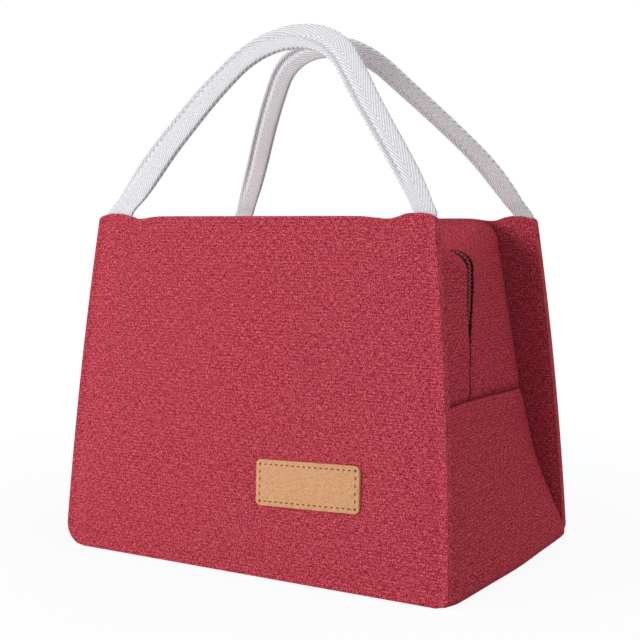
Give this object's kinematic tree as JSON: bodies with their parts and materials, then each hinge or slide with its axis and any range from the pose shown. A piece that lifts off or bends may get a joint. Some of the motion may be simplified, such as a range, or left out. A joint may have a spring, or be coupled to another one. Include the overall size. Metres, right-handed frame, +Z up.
{
  "type": "insulated lunch bag",
  "caption": "Soft insulated zip-top lunch bag in red linen-look fabric with pinched sides, webbing carry handles, foil lining and a bare leather patch.",
  "frame": {"origin": "on the floor under the middle of the bag", "axes": "+X to the right seen from the front, +Y to the back, +Z up; the patch is on the front, towards -Y"},
  "size_m": [0.2576, 0.181, 0.3124],
  "materials": {
    "red_fabric": "heathered linen-look plain weave, matt",
    "foam": "closed-cell foam, matt",
    "foil_lining": "aluminised film with a quilted weld pattern, satin",
    "webbing": "herringbone twill webbing, matt",
    "zip_tape": "woven tape, matt",
    "zip_teeth": "nylon coil, satin",
    "zip_metal": "satin enamel",
    "leather": "tan, fine grain, matt"
  },
  "bodies": {
    "base": {"gusset_fabric": "red_fabric", "gusset_foam": "foam", "gusset_lining": "foil_lining"},
    "front_shell": {"front_panel_fabric": "red_fabric", "front_panel_foam": "foam", "front_panel_lining": "foil_lining", "front_wing_facing": "red_fabric", "front_handle_tails": "webbing", "front_zip_band_fabric": "red_fabric", "front_zip_band_foam": "foam", "front_zip_band_lining": "foil_lining", "front_zip_tape": "zip_tape", "front_zip_teeth": "zip_teeth", "leather_patch": "leather"},
    "back_shell": {"back_panel_fabric": "red_fabric", "back_panel_foam": "foam", "back_panel_lining": "foil_lining", "back_wing_facing": "red_fabric", "back_handle_tails": "webbing", "back_zip_band_fabric": "red_fabric", "back_zip_band_foam": "foam", "back_zip_band_lining": "foil_lining", "back_zip_tape": "zip_tape", "back_zip_teeth": "zip_teeth"},
    "front_handle": {"front_handle": "webbing"},
    "back_handle": {"back_handle": "webbing"},
    "zip_slider": {"zip_slider": "zip_metal"},
    "zip_pull": {"zip_pull": "zip_metal"}
  },
  "joints": [
    {"name": "front_panel_open", "type": "hinge", "parent": "base", "child": "front_shell", "pos_m": [0, -0.09045, 0.0005], "axis": [1, 0, 0], "range_deg": [0, 14]},
    {"name": "back_panel_open", "type": "hinge", "parent": "base", "child": "back_shell", "pos_m": [0, 0.09045, 0.0005], "axis": [-1, 0, 0], "range_deg": [0, 14]},
    {"name": "front_handle_swing", "type": "hinge", "parent": "front_shell", "child": "front_handle", "pos_m": [0, -0.07444, 0.20073], "axis": [1, 0, 0], "range_deg": [0, 195]},
    {"name": "back_handle_swing", "type": "hinge", "parent": "back_shell", "child": "back_handle", "pos_m": [0, 0.07444, 0.20073], "axis": [-1, 0, 0], "range_deg": [0, 195]},
    {"name": "zip_slider_travel", "type": "slide", "parent": "base", "child": "zip_slider", "axis": [0.0094, 0, 1], "range_m": [0, 0.048]},
    {"name": "zip_pull_swing", "type": "hinge", "parent": "zip_slider", "child": "zip_pull", "pos_m": [-0.10294, 0, 0.10185], "axis": [0, 1, 0], "range_deg": [0, 150]}
  ]
}
